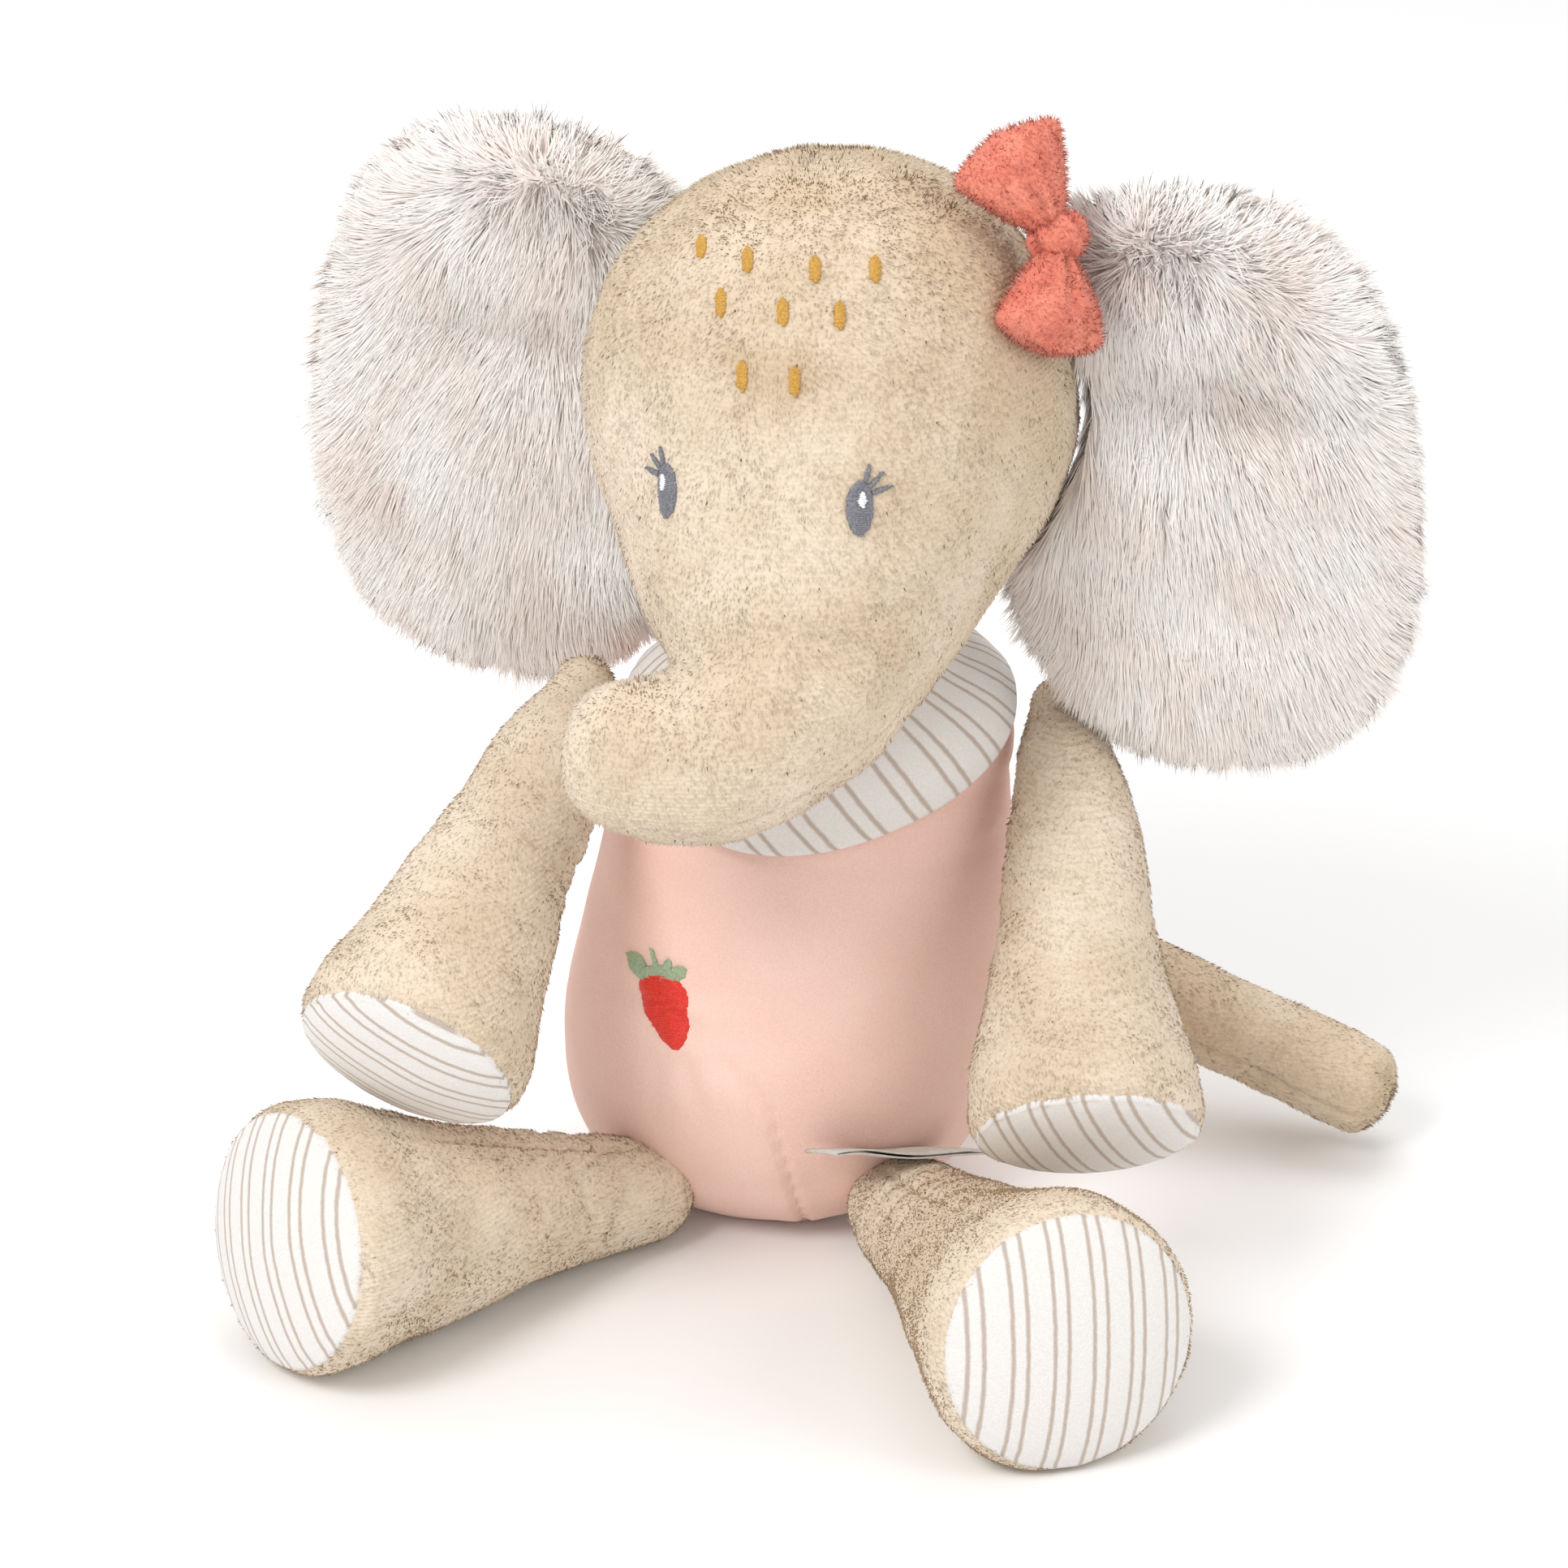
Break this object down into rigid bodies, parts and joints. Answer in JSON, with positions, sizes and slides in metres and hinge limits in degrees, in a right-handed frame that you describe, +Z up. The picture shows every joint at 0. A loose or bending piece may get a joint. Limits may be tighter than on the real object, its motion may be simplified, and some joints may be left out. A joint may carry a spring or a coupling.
{
  "type": "stuffed elephant",
  "caption": "Sitting plush elephant in beige minky with a pink velour body, long-fur ears, a coral bow, a striped scarf and striped pads",
  "frame": {"origin": "middle of the flat seat under the torso, on the surface that the toy sits on", "axes": "+Z up, -Y the way the elephant faces, +X the elephant's own left"},
  "size_m": [0.2477, 0.1906, 0.2446],
  "materials": {
    "velour_pink": "soft short-pile cotton velour, matt",
    "fibre_fill": "loose polyester fibre filling",
    "jersey_stripe": "white cotton jersey with paired taupe stripes",
    "minky_beige": "short-nap minky, matt with a soft sheen",
    "fur_blush": "long faux fur, brushed, pale blush",
    "thread_grey": "satin-stitch embroidery thread, grey",
    "thread_white": "satin-stitch embroidery thread, white",
    "thread_gold": "satin-stitch embroidery thread, gold",
    "plush_coral": "short coral plush",
    "thread_red": "satin-stitch embroidery thread, red",
    "thread_green": "satin-stitch embroidery thread, sage green",
    "label_satin": "thin woven satin label, print left out"
  },
  "bodies": {
    "torso": {"torso_front_panel": "velour_pink", "torso_back_panel": "velour_pink", "torso_stuffing": "fibre_fill", "neck_scarf": "jersey_stripe", "strawberry_berry": "thread_red", "strawberry_leaves": "thread_green"},
    "head": {"head_face_panel": "minky_beige", "head_chin_gusset": "minky_beige", "head_back_panel": "minky_beige", "head_stuffing": "fibre_fill", "left_eye": "thread_grey", "left_eye_lashes": "thread_grey", "left_eye_highlight": "thread_white", "right_eye": "thread_grey", "right_eye_lashes": "thread_grey", "right_eye_highlight": "thread_white", "forehead_stitches": "thread_gold", "bow_knot": "plush_coral", "bow_lower_loop": "plush_coral", "bow_upper_loop": "plush_coral"},
    "trunk": {"trunk_top_panel": "minky_beige", "trunk_underside_panel": "minky_beige", "trunk_root_stuffing": "fibre_fill", "trunk_stuffing": "fibre_fill"},
    "left_ear": {"left_ear_fur_front": "fur_blush", "left_ear_back_panel": "minky_beige", "left_ear_wadding": "fibre_fill"},
    "right_ear": {"right_ear_fur_front": "fur_blush", "right_ear_back_panel": "minky_beige", "right_ear_wadding": "fibre_fill"},
    "left_arm": {"left_arm_sleeve": "minky_beige", "left_arm_pad": "jersey_stripe", "left_arm_stuffing": "fibre_fill"},
    "right_arm": {"right_arm_sleeve": "minky_beige", "right_arm_pad": "jersey_stripe", "right_arm_stuffing": "fibre_fill"},
    "left_leg": {"left_leg_sleeve": "minky_beige", "left_leg_pad": "jersey_stripe", "left_leg_stuffing": "fibre_fill"},
    "right_leg": {"right_leg_sleeve": "minky_beige", "right_leg_pad": "jersey_stripe", "right_leg_stuffing": "fibre_fill"},
    "tail": {"tail_sleeve": "minky_beige", "tail_stuffing": "fibre_fill"},
    "label": {"care_label": "label_satin"}
  },
  "joints": [
    {"name": "head_turn", "type": "hinge", "parent": "torso", "child": "head", "pos_m": [0.0106, 0.004, 0.13], "axis": [0, 0, 1], "range_deg": [-8, 8]},
    {"name": "trunk_bend", "type": "hinge", "parent": "head", "child": "trunk", "pos_m": [0.00503, -0.04794, 0.14615], "axis": [-0.989, 0.148, 0], "range_deg": [-12, 12]},
    {"name": "left_ear_flap", "type": "hinge", "parent": "head", "child": "left_ear", "pos_m": [0.0632, -0.0092, 0.167], "axis": [-0.116, 0.038, 0.9925], "range_deg": [-10, 20]},
    {"name": "right_ear_flap", "type": "hinge", "parent": "head", "child": "right_ear", "pos_m": [-0.0319, 0.0217, 0.167], "axis": [0.116, -0.038, 0.9925], "range_deg": [-20, 8]},
    {"name": "left_arm_lift", "type": "hinge", "parent": "torso", "child": "left_arm", "pos_m": [0.0585, -0.001, 0.111], "axis": [-1, 0, 0], "range_deg": [0, 28]},
    {"name": "right_arm_lift", "type": "hinge", "parent": "torso", "child": "right_arm", "pos_m": [-0.039, 0, 0.115], "axis": [-1, 0, 0], "range_deg": [0, 40]},
    {"name": "left_leg_swing", "type": "hinge", "parent": "torso", "child": "left_leg", "pos_m": [0.026, -0.031, 0.0115], "axis": [0, 0, 1], "range_deg": [-15, 0]},
    {"name": "right_leg_swing", "type": "hinge", "parent": "torso", "child": "right_leg", "pos_m": [-0.028, -0.024, 0.0115], "axis": [0, 0, 1], "range_deg": [0, 15]},
    {"name": "tail_swing", "type": "hinge", "parent": "torso", "child": "tail", "pos_m": [0.015, 0.0575, 0.052], "axis": [0, 0, 1], "range_deg": [0, 20]},
    {"name": "label_flap", "type": "hinge", "parent": "torso", "child": "label", "pos_m": [0.0386, -0.024, 0.0206], "axis": [-0.3746, 0.884, 0.2797], "range_deg": [0, 50]}
  ]
}
